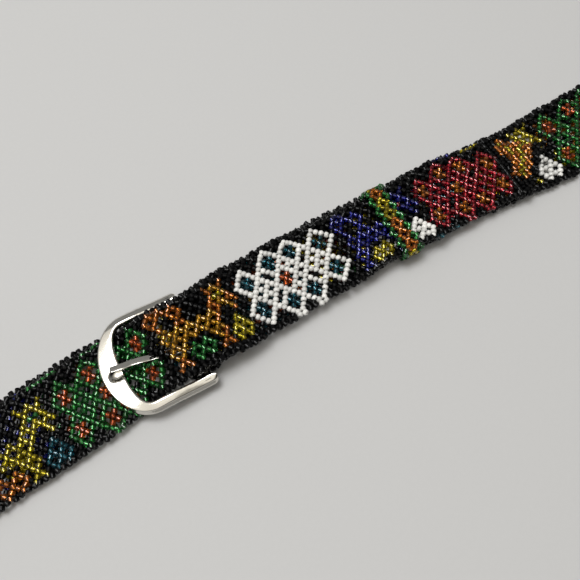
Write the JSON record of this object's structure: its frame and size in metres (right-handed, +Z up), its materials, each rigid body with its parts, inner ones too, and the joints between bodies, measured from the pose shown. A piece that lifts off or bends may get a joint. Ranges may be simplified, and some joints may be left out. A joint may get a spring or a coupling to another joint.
{
  "type": "beaded belt",
  "caption": "Netted glass bead belt with a chrome heel-bar buckle and a beaded keeper, fastened and lying flat, front stretch on back stretch.",
  "frame": {"origin": "middle of the flat loop, on the underside of the back stretch, at the surface it lies on", "axes": "+X along the belt towards the pointed tip, -Y the side it is seen from, +Z up"},
  "size_m": [0.3976, 0.0436, 0.0112],
  "materials": {
    "net_beads": "black and coloured seed beads, gloss",
    "keeper_beads": "amber, yellow and green seed beads, gloss",
    "buckle_chrome": "polished",
    "prong_chrome": "polished"
  },
  "bodies": {
    "root": {"net_band": "net_beads", "keeper": "keeper_beads", "buckle_frame": "buckle_chrome", "prong": "prong_chrome"}
  },
  "joints": []
}
